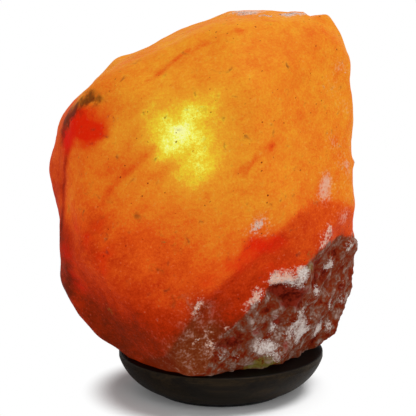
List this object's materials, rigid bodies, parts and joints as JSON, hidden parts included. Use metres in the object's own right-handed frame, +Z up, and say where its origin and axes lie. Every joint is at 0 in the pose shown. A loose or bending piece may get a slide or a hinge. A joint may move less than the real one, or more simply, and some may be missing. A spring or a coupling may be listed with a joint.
{
  "type": "salt crystal lamp",
  "caption": "Hewn block of orange rock salt on a dark turned wooden foot, lit by a candle bulb on a pull-down lampholder in its bore.",
  "frame": {"origin": "centre of the felt ring's underside, on the surface that the lamp stands on, on the bore's axis", "axes": "+Z up along the bore; the pictured side faces -Y; +X is to the viewer's right; the cord groove leaves towards +Y"},
  "size_m": [0.1937, 0.156, 0.2395],
  "materials": {
    "salt": "translucent orange rock salt, lit from inside, semi-matt with sparkling grains",
    "stained_wood": "turned hardwood, stained nearly black, satin",
    "felt": "black wool felt",
    "zinc_steel": "zinc-plated steel",
    "anchor_plastic": "moulded grey polyamide",
    "spring_steel": "blued spring steel",
    "brass": "drawn brass",
    "holder_plastic": "black moulded phenolic",
    "core_ceramic": "unglazed steatite",
    "nickel_cap": "nickel-bright bulb cap",
    "solder": "solder",
    "black_glass": "black insulating glass",
    "bulb_glass": "clear blown glass",
    "stem_glass": "clear pressed glass",
    "lead_wire": "nickel-iron wire",
    "tungsten": "coiled tungsten, glowing"
  },
  "bodies": {
    "base": {"wood_base": "stained_wood", "salt_crystal": "salt", "felt_ring": "felt", "crystal_screws": "zinc_steel", "screw_anchors": "anchor_plastic"},
    "lampholder": {"clip_plate": "zinc_steel", "spring_clips": "spring_steel", "clip_rivets": "zinc_steel", "cord_nipple": "brass", "nipple_nut": "brass", "holder_cap": "holder_plastic", "holder_body": "holder_plastic", "holder_core": "core_ceramic", "screw_shell": "brass", "centre_contact": "brass", "terminals": "brass", "terminal_screws": "zinc_steel"},
    "bulb_lift": {"bulb_tip_contact": "solder"},
    "bulb": {"bulb_insulator": "black_glass", "bulb_cap": "nickel_cap", "bulb_glass": "bulb_glass", "bulb_stem": "stem_glass", "bulb_lead_wires": "lead_wire", "filament": "tungsten"}
  },
  "joints": [
    {"name": "holder_pull_down", "type": "slide", "parent": "base", "child": "lampholder", "axis": [0, 0, -1], "range_m": [0, 0.142]},
    {"name": "bulb_rise", "type": "slide", "parent": "lampholder", "child": "bulb_lift", "axis": [0, 0, 1], "range_m": [0, 0.0113]},
    {"name": "bulb_unscrew", "type": "hinge", "parent": "bulb_lift", "child": "bulb", "pos_m": [0, 0, 0.0406], "axis": [0, 0, 1], "range_deg": [0, 1440]}
  ],
  "couplings": [
    {"joint": "bulb_rise", "follows": "bulb_unscrew", "m_per_rad": 0.00044913}
  ]
}
